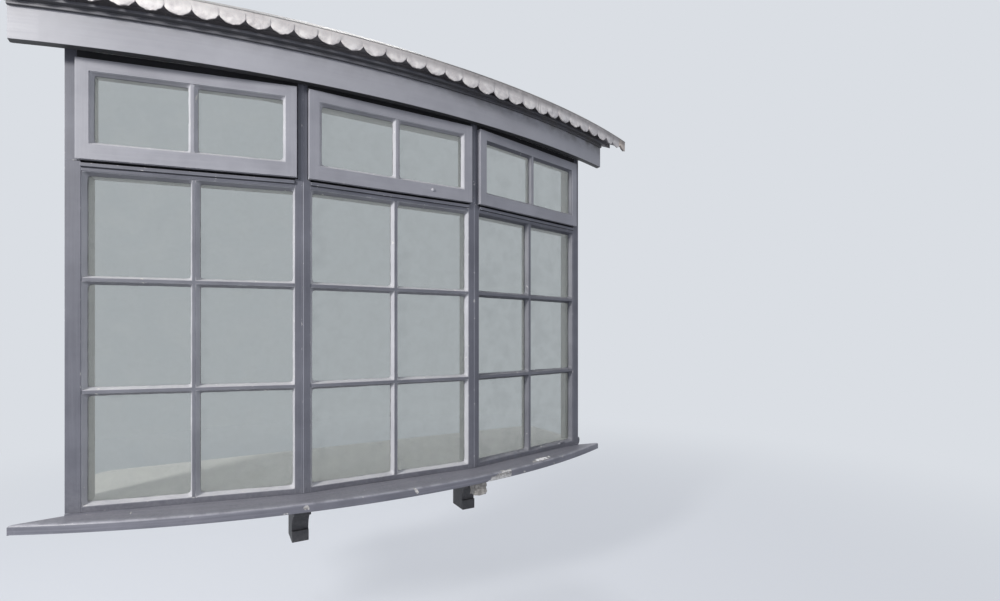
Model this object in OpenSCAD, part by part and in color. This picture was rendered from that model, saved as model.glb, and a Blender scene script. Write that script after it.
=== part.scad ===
// Shallow timber bow window: three flat lights set on a curve, each a top-hung
// vent over a fixed light of two by three panes, with a curved sill on brackets,
// a curved fascia and a small lead roof with a scalloped front edge.
// Millimetres, +Z up. The wall's outer face is the plane Y = 0, the street is on
// the -Y side, and the origin is the middle of the sill's back edge on the wall.

/* [Bow plan] */
// Distance between the two mullion centres, which is also the width of one light
light_pitch = 664; // [560:1:760]
// How far the face of the middle light stands out from the wall
face_projection = 150; // [130:1:175]
// Angle by which each side light turns back towards the wall
side_angle = 12.8; // [11:0.1:14]
// Width of jamb that shows beside a side vent
jamb_cover = 33.5; // [24:0.5:50]

/* [Frame timber] */
// Depth of posts and rails from front to back
frame_depth = 80; // [70:1:100]
// Depth of the rebate that takes the glass or a vent
rebate_d = 28; // [24:1:32]
// Width of the glazing rebate round each pane
rebate_w = 8; // [6:0.5:10]
// Half of the gap between two neighbouring vents
vent_gap = 17.5; // [14:0.5:22]
// How far the glass line lies inside the vent's edge
sight_inset = 16; // [13:0.5:20]
// Chamfer on the room side of the timber
inner_chamfer = 7; // [3:0.5:10]
// Thickness of the bottom rail below the glass
bottom_rail_h = 26; // [22:1:34]
// Height of the head rail above the vent opening
head_rail_h = 46; // [40:1:60]

/* [Heights] */
// Top of the sill under the frame
frame_foot_z = 20; // [18:1:24]
// Centre of the lower glazing bar
low_bar_z = 391; // [330:1:420]
// Centre of the upper glazing bar
high_bar_z = 740; // [690:1:780]
// Bottom edge of the transom at the glass line
transom_z = 1067; // [1020:1:1100]
// Height of the fixed light's transom face
transom_h = 31; // [24:1:40]
// Height of a vent sash
vent_h = 309; // [260:1:360]

/* [Glazing] */
// Thickness of a sheet of glass
glass_t = 4; // [3:0.5:6]
// Gap between the edge of a pane and its rebate
pane_gap = 1.5; // [0.5:0.25:2.5]
// Width of a glazing bar on the room side
bar_w = 26; // [22:1:30]
// How far the nose of a bar and the putty lie behind the face
putty_back = 2; // [1:0.5:4]

/* [Vents] */
// How far a vent stands proud of the frame
vent_proud = 18; // [12:1:24]
// Width of a vent's stiles
vent_stile = 36; // [30:1:44]
// Height of a vent's top rail
vent_top_rail = 38; // [30:1:46]
// Height of a vent's bottom rail
vent_bottom_rail = 48; // [40:1:60]
// Depth of the rebate in a vent
vent_rebate_d = 20; // [16:1:24]
// Clearance round a vent in the frame
vent_clear = 2; // [1:0.25:3]
// Width of the drip groove under a vent
vent_drip_w = 5; // [3:0.5:7]

/* [Sill] */
// How far the sill's nose stands out beyond the middle light
sill_over = 108; // [90:1:135]
// How far the sill runs on past each jamb
sill_horn = 130; // [90:1:185]
// Thickness of the sill's nose
sill_nose_h = 30; // [24:1:34]
// Slope of the sill's top
sill_slope = 5.5; // [3:0.25:6]
// Radius on the sill's top front edge
nose_round = 7; // [3:0.5:10]
// Distance of the drip groove from the nose
sill_drip_set = 26; // [18:1:40]
// Width of the drip groove under the sill
sill_drip_w = 9; // [6:1:14]
// Depth of the drip groove under the sill
sill_drip_d = 6; // [4:0.5:9]

/* [Brackets and block] */
// Width of a bracket
bracket_w = 56; // [45:1:90]
// Depth of a bracket at its top
bracket_top_d = 150; // [120:1:170]
// Depth of a bracket's foot
bracket_foot_d = 98; // [92:1:115]
// Height of a bracket
bracket_h = 145; // [130:1:180]
// Height of the square foot
bracket_foot_h = 40; // [25:1:50]
// Radius of the hollow in the bracket's front
cove_r = 68; // [50:1:75]
// How far the hollow cuts in behind the foot's front
cove_quirk = 8; // [2:1:15]
// Width of the packing block under the nose
block_w = 56; // [40:1:70]
// Height of the packing block
block_h = 52; // [35:1:70]
// Depth of the packing block
block_d = 45; // [30:1:60]
// How far the block stands back from the sill's nose
block_set = 15; // [8:1:25]
// How far the block lies off the mullion's centre
block_shift = 6; // [-15:1:15]

/* [Window board] */
// How far the board runs in from the wall's outer face
board_reach = 450; // [380:5:520]
// Thickness of the board
board_t = 22; // [18:1:24]
// Radius of the board's two room-side corners
board_corner = 70; // [30:1:100]

/* [Fascia and head] */
// Gap between the face of the middle light and the back of the fascia
fascia_set = 29; // [26:1:50]
// How far the fascia's ends stand out from the wall
fascia_end = 25; // [15:1:40]
// Thickness of the fascia board
fascia_t = 26; // [20:1:32]
// Height of the fascia board
fascia_h = 120; // [100:1:140]
// How far the fascia runs on past each jamb
fascia_horn = 123; // [90:1:150]
// Gap between the top of the vents and the fascia's bottom edge
fascia_gap = 10; // [4:1:18]
// Thickness of the head board
head_board_t = 18; // [12:1:25]
// How far the moulding stands out from the fascia
moulding_d = 20; // [12:1:26]
// Height of the moulding
moulding_h = 24; // [18:1:36]

/* [Lead roof] */
// Slope of the roof
roof_slope = 32; // [24:1:36]
// Overhang of the lobes beyond the fascia
lobe_overhang = 45; // [38:1:60]
// Thickness of the roof boarding
deck_t = 20; // [15:1:28]
// Thickness of the lead
lead_t = 3; // [2:0.5:5]
// Thickness of a lobe
lobe_t = 6; // [4:0.5:9]
// Width of one lobe of the scalloped edge
lobe_pitch = 74; // [60:1:90]
// Depth of the rounded part of a lobe
lobe_sag = 23; // [16:1:30]
// Height of a lobe from its tip to its top
lobe_h = 47; // [40:1:56]
// How far the tips of the lobes hang below the fascia's top
lobe_drop = 3; // [0:1:8]

/* [Hidden] */
$fn = 96;
bow_fn = 240;
nose_fn = 48;
reach = 6000;
cut = 1;
seat = 0.3;
paint = "#8b8c97";
paint_dark = "#6d6e7b";
paint_inside = "#e6e5e2";
lead_grey = "#c9c6c4";
putty_paint = "#a5a5ae";
glass_tint = "lightsteelblue";
glass_alpha = 0.4;

// Plan of the frame, with each light drawn about its own centre
half_pitch = light_pitch / 2;
vent_half = half_pitch - vent_gap;
sight_half = vent_half - sight_inset;
fixed_rebate_half = sight_half + rebate_w;
vent_rebate_half = vent_half + vent_clear;
jamb_half = vent_half + jamb_cover;
jamb_back_half = jamb_half + frame_depth * tan(side_angle);
jamb_x = half_pitch + (half_pitch + jamb_half) * cos(side_angle);
jamb_y = -face_projection + (half_pitch + jamb_half) * sin(side_angle);

// Heights of the frame, which stands on the sill's seat
post_z = frame_foot_z + seat;
sight_bottom_z = frame_foot_z + bottom_rail_h;
transom_face_z = transom_z + transom_h;
transom_fall = 7;
transom_nose = 8;
transom_nose_h = 10;
vent_z = transom_face_z + transom_fall + vent_clear;
vent_top_z = vent_z + vent_h;
head_z = vent_top_z + head_rail_h - sight_inset;

// Glazing bars: a tongue between the panes and a moulded back
bar_half = bar_w / 2;
tongue_half = bar_half - rebate_w;
bar_back_d = 24;
bar_shoulder = 6;
bar_edge_half = 6;
small_chamfer = 3;
mullion_groove = 2.5;

// Vent sash, from its face at -vent_proud to the stop in the frame
vent_back = rebate_d - seat;
vent_glass_back = vent_rebate_d - vent_proud;
vent_rim_half = vent_half - vent_stile;
vent_rim_z = [vent_z + vent_bottom_rail, vent_top_z - vent_top_rail];
vent_drip_set = 6;
vent_drip_d = 4;

// Plan circle of the sill, through its nose and both ends at the wall
sill_projection = face_projection + sill_over;
sill_half = jamb_x + sill_horn;
sill_radius = (sill_half * sill_half + sill_projection * sill_projection)
    / (2 * sill_projection);
sill_centre_y = sill_radius - sill_projection;
sill_under_z = -frame_foot_z;
sill_nose_z = sill_under_z + sill_nose_h;

// Plan circle of the fascia, through its middle and both ends
fascia_projection = face_projection + fascia_set + fascia_t;
fascia_half = jamb_x + fascia_horn;
fascia_rise = fascia_projection - fascia_end;
fascia_radius = (fascia_half * fascia_half + fascia_rise * fascia_rise)
    / (2 * fascia_rise);
fascia_centre_y = fascia_radius - fascia_projection;
fascia_back_r = fascia_radius - fascia_t;
fascia_z = vent_top_z + fascia_gap;
fascia_top_z = fascia_z + fascia_h;
head_board_over = 65;

// Roof, which falls from the wall to the top of the lobes
deck_r = fascia_radius + lobe_overhang;
deck_lap = 5;
deck_toe = 20;
deck_drop = deck_t / cos(roof_slope);
soffit_z = fascia_top_z + deck_toe;
lobe_z = fascia_top_z - lobe_drop;
lobe_top_z = lobe_z + lobe_h;
roof_tip_cut = 20;
roof_half = sqrt(deck_r * deck_r - fascia_centre_y * fascia_centre_y) - roof_tip_cut;
past_wall = 5;
roof_back_r = fascia_centre_y - past_wall;
bearer_w = 38;
bearer_gap = 0.4 * jamb_x;

function light_pos(k) = [
    k * (half_pitch + half_pitch * cos(side_angle)),
    -face_projection + abs(k) * half_pitch * sin(side_angle)];
function to_plan(k, p) = [
    light_pos(k)[0] + p[0] * cos(k * side_angle) - p[1] * sin(k * side_angle),
    light_pos(k)[1] + p[0] * sin(k * side_angle) + p[1] * cos(k * side_angle)];

// Side of a post from face to back: a rebate, then a chamfer on the room side
function post_side(rebate_half) = [
    [rebate_half, 0], [rebate_half, rebate_d], [sight_half, rebate_d],
    [sight_half, frame_depth - inner_chamfer],
    [sight_half + inner_chamfer, frame_depth]];
function reversed(list) = [for (i = [len(list) - 1:-1:0]) list[i]];
function arc_y(centre_y, r, x) = centre_y - sqrt(r * r - x * x);
function deck_z(r) = lobe_top_z + (deck_r - r) * tan(roof_slope);
function fascia_plan_r(x, y) = norm([x, fascia_centre_y - y]);

module on_light(k) {
    translate([light_pos(k)[0], light_pos(k)[1], 0])
        rotate([0, 0, k * side_angle])
            children();
}

// Runs a section drawn in depth and height along a light, centred
module along_light(half, section) {
    translate([-half, 0, 0])
        rotate([90, 0, 90])
            linear_extrude(2 * half)
                polygon(section);
}

// Turns a section drawn in radius and height about a plan centre on X = 0, and
// keeps what lies in front of the wall and within a half length
module bowed(centre_y, half) {
    spare = 1;
    sweep = atan(half / centre_y) + spare;
    intersection() {
        translate([0, centre_y, 0])
            rotate([0, 0, -90 - sweep])
                rotate_extrude(angle = 2 * sweep, $fn = bow_fn)
                    children();
        translate([-half, -reach, -reach / 2])
            cube([2 * half, reach, reach]);
    }
}

// Mitred post between two lights, with a groove down the joint on its face
module mullion_outline(rebate_half) {
    side = post_side(rebate_half);
    mitre = tan(side_angle / 2);
    polygon(concat(
        [to_plan(0, [half_pitch - mullion_groove * mitre, mullion_groove]),
            to_plan(0, [half_pitch - mullion_groove, 0])],
        [for (p = side) to_plan(0, p)],
        [to_plan(0, [half_pitch - frame_depth * mitre, frame_depth])],
        reversed([for (p = side) to_plan(1, [-p[0], p[1]])]),
        [to_plan(1, [mullion_groove - half_pitch, 0])]));
}

module jamb_outline(rebate_half) {
    polygon(concat(
        [to_plan(1, [jamb_half, 0])],
        [for (p = post_side(rebate_half)) to_plan(1, p)],
        [to_plan(1, [jamb_back_half, frame_depth])]));
}

module post_below_vent() {
    translate([0, 0, post_z])
        linear_extrude(transom_face_z + transom_fall - post_z)
            children();
}

module post_beside_vent() {
    translate([0, 0, transom_face_z + transom_fall])
        linear_extrude(head_z - transom_face_z - transom_fall)
            children();
}

module mullion() {
    color(paint_dark) {
        post_below_vent()
            mullion_outline(fixed_rebate_half);
        post_beside_vent()
            mullion_outline(vent_rebate_half);
    }
}

module jamb() {
    color(paint_dark) {
        post_below_vent()
            jamb_outline(fixed_rebate_half);
        post_beside_vent()
            jamb_outline(vent_rebate_half);
    }
}

module bottom_rail() {
    color(paint_dark) {
        along_light(fixed_rebate_half, [
            [0, post_z], [rebate_d, post_z],
            [rebate_d, sight_bottom_z - rebate_w], [0, sight_bottom_z - rebate_w]]);
        along_light(sight_half, [
            [rebate_d, post_z], [frame_depth, post_z],
            [frame_depth, sight_bottom_z - small_chamfer],
            [frame_depth - small_chamfer, sight_bottom_z],
            [rebate_d, sight_bottom_z]]);
    }
}

module transom() {
    stop_z = vent_z + sight_inset;
    color(paint_dark) {
        along_light(fixed_rebate_half, [
            [0, transom_z + rebate_w], [rebate_d, transom_z + rebate_w],
            [rebate_d, transom_face_z + transom_fall],
            [-transom_nose, transom_face_z],
            [-transom_nose, transom_face_z - transom_nose_h],
            [0, transom_face_z - transom_nose_h - transom_nose / 2]]);
        along_light(sight_half, [
            [rebate_d, transom_z], [frame_depth - inner_chamfer, transom_z],
            [frame_depth, transom_z + inner_chamfer],
            [frame_depth, stop_z - inner_chamfer],
            [frame_depth - inner_chamfer, stop_z], [rebate_d, stop_z]]);
    }
}

module head_rail() {
    stop_z = vent_top_z - sight_inset;
    color(paint_dark) {
        along_light(vent_rebate_half, [
            [0, vent_top_z + vent_clear], [rebate_d, vent_top_z + vent_clear],
            [rebate_d, head_z], [0, head_z]]);
        along_light(sight_half, [
            [rebate_d, stop_z], [frame_depth - inner_chamfer, stop_z],
            [frame_depth, stop_z + inner_chamfer], [frame_depth, head_z],
            [rebate_d, head_z]]);
    }
}

// Moulded back of a glazing bar, across its width and away from the glass
function bar_back(depth) = [
    [-bar_half, 0], [bar_half, 0], [bar_half, bar_shoulder],
    [bar_edge_half, depth], [-bar_edge_half, depth], [-bar_half, bar_shoulder]];

// An upright bar, whose tongue also fills the rebates above and below it
module bar_upright(z, front, glass_back, back_depth) {
    translate([-tongue_half, front, z[0] - rebate_w])
        cube([2 * tongue_half, glass_back - front, z[1] - z[0] + 2 * rebate_w]);
    translate([0, glass_back, z[0]])
        linear_extrude(z[1] - z[0])
            polygon(bar_back(back_depth));
}

// A level bar: its tongue reaches into the rebates, its moulded back does not
module bar_level(z) {
    translate([0, 0, z]) {
        along_light(fixed_rebate_half, [
            [putty_back, -tongue_half], [rebate_d, -tongue_half],
            [rebate_d, tongue_half], [putty_back, tongue_half]]);
        along_light(sight_half,
            [for (p = bar_back(bar_back_d)) [rebate_d + p[1], p[0]]]);
    }
}

module glazing_bars() {
    color(paint) {
        bar_upright([sight_bottom_z, transom_z], putty_back, rebate_d, bar_back_d);
        bar_level(low_bar_z);
        bar_level(high_bar_z);
    }
}

// Sight openings of the panes, as low and high edges across and up
pane_x = [[-sight_half, -bar_half], [bar_half, sight_half]];
fixed_pane_z = [
    [sight_bottom_z, low_bar_z - bar_half],
    [low_bar_z + bar_half, high_bar_z - bar_half],
    [high_bar_z + bar_half, transom_z]];
vent_pane_x = [[rebate_w - vent_rim_half, -bar_half],
    [bar_half, vent_rim_half - rebate_w]];
vent_pane_z = [vent_rim_z[0] + rebate_w, vent_rim_z[1] - rebate_w];

module pane(x, z, back) {
    edge = rebate_w - pane_gap;
    translate([x[0] - edge, back - glass_t, z[0] - edge])
        cube([x[1] - x[0] + 2 * edge, glass_t, z[1] - z[0] + 2 * edge]);
}

// A mitred fillet of putty round one pane, from the rebate's edge to the glass
module putty_ring(x, z, front, back) {
    rim = [[-1, -1], [1, -1], [1, 1], [-1, 1]];
    mid = [(x[0] + x[1]) / 2, (z[0] + z[1]) / 2];
    half = [(x[1] - x[0]) / 2, (z[1] - z[0]) / 2];
    points = concat(
        [for (s = rim) [mid[0] + s[0] * (half[0] + rebate_w), front,
            mid[1] + s[1] * (half[1] + rebate_w)]],
        [for (s = rim) [mid[0] + s[0] * half[0], back, mid[1] + s[1] * half[1]]],
        [for (s = rim) [mid[0] + s[0] * (half[0] + rebate_w), back,
            mid[1] + s[1] * (half[1] + rebate_w)]]);
    faces = [for (i = [0:3], j = [0:2])
        let (n = (i + 1) % 4, a = 4 * j, b = 4 * ((j + 1) % 3))
        [a + i, b + i, b + n, a + n]];
    polyhedron(points, faces);
}

module fixed_glass() {
    color(glass_tint, glass_alpha)
        for (x = pane_x, z = fixed_pane_z)
            pane(x, z, rebate_d);
}

module fixed_putty() {
    color(putty_paint)
        for (x = pane_x, z = fixed_pane_z)
            putty_ring(x, z, putty_back, rebate_d - glass_t);
}

module vent_sash() {
    rim_z = vent_rim_z[0];
    rim_h = vent_rim_z[1] - vent_rim_z[0];
    color(paint) {
        difference() {
            translate([-vent_half, -vent_proud, vent_z])
                cube([2 * vent_half, vent_proud + vent_back, vent_h]);
            translate([-vent_rim_half, -vent_proud - cut, rim_z])
                cube([2 * vent_rim_half, vent_rebate_d + cut, rim_h]);
            translate([vent_pane_x[0][0], -vent_proud, vent_pane_z[0]])
                cube([2 * vent_pane_x[1][1], vent_proud + rebate_d, rim_h - 2 * rebate_w]);
            translate([-vent_half - cut, vent_drip_set - vent_proud, vent_z - cut])
                cube([2 * vent_half + 2 * cut, vent_drip_w, vent_drip_d + cut]);
        }
        bar_upright(vent_pane_z, putty_back - vent_proud, vent_glass_back,
            vent_back - vent_glass_back);
    }
}

module vent_glass() {
    color(glass_tint, glass_alpha)
        for (x = vent_pane_x)
            pane(x, vent_pane_z, vent_glass_back);
}

module vent_putty() {
    color(putty_paint)
        for (x = vent_pane_x)
            putty_ring(x, vent_pane_z, putty_back - vent_proud,
                vent_glass_back - glass_t);
}

// Curved weathered slab, with a level seat that follows the three lights
module sill() {
    color(paint) {
        bowed(sill_centre_y, sill_half)
            sill_section();
        linear_extrude(frame_foot_z)
            intersection() {
                polygon([[-jamb_x, jamb_y], [-half_pitch, -face_projection],
                    [half_pitch, -face_projection], [jamb_x, jamb_y],
                    [jamb_x, frame_depth], [-jamb_x, frame_depth]]);
                translate([-reach, -reach])
                    square([2 * reach, reach]);
            }
    }
}

// Section of the sill in radius and height, with a round nose and a drip groove
module sill_section() {
    r0 = sill_centre_y - past_wall;
    r1 = sill_radius;
    flat_r = r1 - (frame_foot_z - sill_nose_z) / tan(sill_slope);
    difference() {
        union() {
            polygon([[r0, sill_under_z], [r1, sill_under_z],
                [r1, sill_nose_z - nose_round], [r1 - nose_round, sill_nose_z],
                [flat_r, frame_foot_z], [r0, frame_foot_z]]);
            translate([r1 - nose_round, sill_nose_z - nose_round])
                circle(nose_round, $fn = nose_fn);
        }
        translate([r1 - sill_drip_set - sill_drip_w, sill_under_z - cut])
            square([sill_drip_w, sill_drip_d + cut]);
    }
}

// Block bracket with a square foot and a hollow cut up to its top
module bracket() {
    foot_z = sill_under_z - bracket_h + bracket_foot_h;
    color(paint_dark)
        translate([-bracket_w / 2, 0, 0])
            rotate([90, 0, 90])
                linear_extrude(bracket_w) {
                    difference() {
                        translate([-bracket_top_d, foot_z])
                            square([bracket_top_d, sill_under_z - foot_z]);
                        translate([cove_quirk - bracket_foot_d - cove_r, foot_z])
                            circle(cove_r);
                    }
                    translate([-bracket_foot_d, foot_z - bracket_foot_h])
                        square([bracket_foot_d, bracket_foot_h]);
                }
}

module sill_block() {
    nose_y = arc_y(sill_centre_y, sill_radius, half_pitch);
    color(lead_grey)
        translate([half_pitch - block_shift - block_w / 2, nose_y + block_set,
            sill_under_z - block_h])
            cube([block_w, block_d, block_h]);
}

module window_board() {
    kink = to_plan(0, [half_pitch - frame_depth * tan(side_angle / 2), frame_depth]);
    heel = to_plan(1, [jamb_back_half, frame_depth]);
    color(paint_inside)
        translate([0, 0, post_z])
            linear_extrude(board_t)
                difference() {
                    polygon([[-kink[0], kink[1]], kink, heel, [heel[0], board_reach],
                        [-heel[0], board_reach], [-heel[0], heel[1]]]);
                    for (side = [-1, 1])
                        translate([side * (heel[0] - board_corner),
                            board_reach - board_corner])
                            difference() {
                                translate([side > 0 ? 0 : -2 * board_corner, 0])
                                    square(2 * board_corner);
                                circle(board_corner);
                            }
                }
}

// Level board under the roof, cut to the fascia in front and to the reveals behind
module head_board() {
    half = jamb_x + head_board_over;
    color(paint_inside)
        translate([0, 0, head_z])
            linear_extrude(head_board_t) {
                intersection() {
                    translate([0, fascia_centre_y])
                        circle(fascia_back_r - seat, $fn = bow_fn);
                    translate([-half, -reach])
                        square([2 * half, reach]);
                }
                translate([-jamb_x, -cut])
                    square([2 * jamb_x, frame_depth + cut]);
            }
}

module fascia() {
    color(paint)
        bowed(fascia_centre_y, fascia_half)
            translate([fascia_back_r, fascia_z])
                square([fascia_t, fascia_h]);
}

// Two fillets with a hollow between them, at the top of the fascia
module fascia_moulding() {
    r = fascia_radius;
    z1 = fascia_top_z;
    z0 = z1 - moulding_h;
    step = moulding_d / 2;
    unit = moulding_h / 8;
    color(paint_dark)
        bowed(fascia_centre_y, fascia_half)
            polygon([[r, z0], [r + step, z0], [r + step, z0 + 2 * unit],
                [r + step - unit, z0 + 3 * unit], [r + step - unit, z0 + 4 * unit],
                [r + moulding_d, z0 + 5 * unit], [r + moulding_d, z1], [r, z1]]);
}

// Sloping boarding, with a level strip on the fascia and an edge for the lobes
module roof_deck() {
    color("burlywood")
        bowed(fascia_centre_y, roof_half)
            polygon([[fascia_back_r, fascia_top_z],
                [fascia_radius + deck_lap, fascia_top_z],
                [fascia_radius + deck_lap, soffit_z], [deck_r, soffit_z],
                [deck_r, lobe_top_z], [roof_back_r, deck_z(roof_back_r)],
                [roof_back_r, deck_z(roof_back_r) - deck_drop],
                [fascia_back_r, deck_z(fascia_back_r) - deck_drop]]);
}

// Wedges that carry the boarding on the head board
module roof_bearers() {
    foot_z = head_z + head_board_t;
    lift = deck_drop + seat;
    color("burlywood")
        for (i = [-2:2]) {
            side_x = abs(i) * bearer_gap + bearer_w / 2;
            front = arc_y(fascia_centre_y, fascia_back_r, side_x) + seat;
            translate([i * bearer_gap - bearer_w / 2, 0, 0])
                rotate([90, 0, 90])
                    linear_extrude(bearer_w)
                        polygon([[front, foot_z], [0, foot_z],
                            [0, deck_z(fascia_plan_r(side_x, 0)) - lift],
                            [front, deck_z(fascia_plan_r(side_x, front)) - lift]]);
        }
}

// Lead sheet on the boarding, dressed down over the tops of the lobes
module lead_roof() {
    edge_r = deck_r + lobe_t;
    lift = lead_t / cos(roof_slope);
    color(lead_grey)
        bowed(fascia_centre_y, roof_half)
            polygon([[edge_r, lobe_top_z], [deck_r, lobe_top_z],
                [roof_back_r, deck_z(roof_back_r)],
                [roof_back_r, deck_z(roof_back_r) + lift],
                [deck_r, lobe_top_z + lift], [edge_r, lobe_top_z + lift]]);
}

// One lobe: square shoulders and a round tip, drawn across and up from its tip
module lobe_outline() {
    half = lobe_pitch / 2 - seat;
    tip_r = (half * half + lobe_sag * lobe_sag) / (2 * lobe_sag);
    translate([-half, lobe_sag])
        square([2 * half, lobe_h - lobe_sag]);
    intersection() {
        translate([0, tip_r])
            circle(tip_r);
        translate([-half, 0])
            square([2 * half, lobe_sag]);
    }
}

// A row of lobes round the edge of the roof, cut off at its ends
module scalloped_edge() {
    half_count = round(deck_r * asin(roof_half / deck_r) * PI / 180 / lobe_pitch);
    turn = lobe_pitch / deck_r * 180 / PI;
    end_x = roof_half - seat;
    color(lead_grey)
        intersection() {
            for (i = [-half_count:half_count - 1])
                translate([0, fascia_centre_y, lobe_z])
                    rotate([0, 0, (i + 0.5) * turn])
                        translate([0, -deck_r, 0])
                            rotate([90, 0, 0])
                                linear_extrude(lobe_t)
                                    lobe_outline();
            translate([-end_x, -reach, 0])
                cube([2 * end_x, reach, reach]);
        }
}

sill();
sill_block();
translate([-half_pitch, 0, 0]) bracket();  // bracket_left
translate([half_pitch, 0, 0]) bracket();  // bracket_right
window_board();
mirror([1, 0, 0]) jamb();  // jamb_left
jamb();  // jamb_right
mirror([1, 0, 0]) mullion();  // mullion_left
mullion();  // mullion_right
on_light(-1) bottom_rail();  // bottom_rail_left
on_light(0) bottom_rail();  // bottom_rail_middle
on_light(1) bottom_rail();  // bottom_rail_right
on_light(-1) transom();  // transom_left
on_light(0) transom();  // transom_middle
on_light(1) transom();  // transom_right
on_light(-1) head_rail();  // head_rail_left
on_light(0) head_rail();  // head_rail_middle
on_light(1) head_rail();  // head_rail_right
on_light(-1) glazing_bars();  // glazing_bars_left
on_light(0) glazing_bars();  // glazing_bars_middle
on_light(1) glazing_bars();  // glazing_bars_right
on_light(-1) fixed_glass();  // fixed_glass_left
on_light(0) fixed_glass();  // fixed_glass_middle
on_light(1) fixed_glass();  // fixed_glass_right
on_light(-1) fixed_putty();  // fixed_putty_left
on_light(0) fixed_putty();  // fixed_putty_middle
on_light(1) fixed_putty();  // fixed_putty_right
on_light(-1) vent_sash();  // vent_sash_left
on_light(0) vent_sash();  // vent_sash_middle
on_light(1) vent_sash();  // vent_sash_right
on_light(-1) vent_glass();  // vent_glass_left
on_light(0) vent_glass();  // vent_glass_middle
on_light(1) vent_glass();  // vent_glass_right
on_light(-1) vent_putty();  // vent_putty_left
on_light(0) vent_putty();  // vent_putty_middle
on_light(1) vent_putty();  // vent_putty_right
head_board();
fascia();
fascia_moulding();
roof_bearers();
roof_deck();
lead_roof();
scalloped_edge();
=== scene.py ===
import math
import bmesh
import bpy
import numpy as np
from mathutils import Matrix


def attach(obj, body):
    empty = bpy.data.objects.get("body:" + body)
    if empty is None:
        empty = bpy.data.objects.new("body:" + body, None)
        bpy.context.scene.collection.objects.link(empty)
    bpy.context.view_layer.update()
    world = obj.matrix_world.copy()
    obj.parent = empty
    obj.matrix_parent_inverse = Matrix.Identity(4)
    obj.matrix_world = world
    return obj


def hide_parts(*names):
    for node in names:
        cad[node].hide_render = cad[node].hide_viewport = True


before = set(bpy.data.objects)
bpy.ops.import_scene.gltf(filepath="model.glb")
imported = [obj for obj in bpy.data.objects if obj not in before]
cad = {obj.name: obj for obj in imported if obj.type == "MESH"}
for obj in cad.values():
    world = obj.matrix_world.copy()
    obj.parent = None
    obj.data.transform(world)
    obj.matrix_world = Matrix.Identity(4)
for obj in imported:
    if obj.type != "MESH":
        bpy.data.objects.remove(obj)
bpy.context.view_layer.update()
print("frame:", len(cad), "nodes")


def inScene(name, data):
    # a new object at the origin
    thing = bpy.data.objects.new(name, data)
    bpy.context.scene.collection.objects.link(thing)
    return thing


# camera at the photograph's viewing point, outside, left of the middle
shot = {"place": (-0.596, -1.978, 0.570), "turn": -29.74, "lens": 17.9, "sensor": 36,
        "shiftX": 0.0012, "shiftY": 0.0338, "near": 0.05}
camera = inScene("camera", bpy.data.cameras.new("camera"))
camera.location = shot["place"]
camera.rotation_euler = (math.radians(90), 0, math.radians(shot["turn"]))
camera.data.lens = shot["lens"]
camera.data.sensor_width = shot["sensor"]
camera.data.shift_x = shot["shiftX"]
camera.data.shift_y = shot["shiftY"]
camera.data.clip_start = shot["near"]
bpy.context.scene.camera = camera


def linear(code):
    # sRGB hex to linear: the standard curve, with its straight part near black
    rgb = np.array([int(code[i:i + 2], 16) for i in (1, 3, 5)]) / 255
    rgb = np.where(rgb <= 0.04045, rgb / 12.92, ((rgb + 0.055) / 1.055) ** 2.4)
    return (*rgb.tolist(), 1.0)


def add(tree, kind, values=None, links=None, **settings):
    # a link is given as a socket, or as a node whose first output it takes
    node = tree.nodes.new("ShaderNode" + kind)
    for key, value in settings.items():
        setattr(node, key, value)
    for key, value in (values or {}).items():
        node.inputs[key].default_value = value
    for key, source in (links or {}).items():
        if isinstance(source, bpy.types.Node):
            source = source.outputs[0]
        tree.links.new(source, node.inputs[key])
    return node


def waves(points, size, seed, count=7):
    # smooth noise of about -1 to 1: a sum of sine waves whose length is near size
    rng = np.random.default_rng(seed)
    way = rng.normal(size=(count, 3))
    way /= np.linalg.norm(way, axis=1)[:, None]
    step = 2 * np.pi / (size * rng.uniform(0.6, 1.7, count))
    angle = points @ (way * step[:, None]).T + rng.uniform(0, 2 * np.pi, count)
    return np.sin(angle).sum(-1) / math.sqrt(count)


def gridFaces(rows, cols, closeRows):
    # quads over a grid of points numbered row by row; a row runs round and closes,
    # and the last row joins the first where the rows close too
    i, j = np.meshgrid(np.arange(rows if closeRows else rows - 1), np.arange(cols),
                       indexing="ij")
    i2, j2 = (i + 1) % rows, (j + 1) % cols
    return np.stack([i * cols + j, i2 * cols + j, i2 * cols + j2, i * cols + j2],
                    -1).reshape(-1, 4)


# how near points are one point, in metres
weld = {"cad": 1e-5, "grid": 2e-6, "sliver": 1e-6}


def mark(mesh, label, values):
    # a value for each point, which a material reads by its label
    layer = mesh.attributes.new(label, "FLOAT", "POINT")
    layer.data.foreach_set("value", values.reshape(-1).astype(np.float32))


def asPiece(name, mesh, materials, replaced=()):
    # a finished mesh as a piece that rides the root
    for material in materials:
        mesh.materials.append(material)
    piece = inScene(name, mesh)
    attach(piece, "root")
    if replaced:
        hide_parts(*replaced)
    return piece


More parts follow.
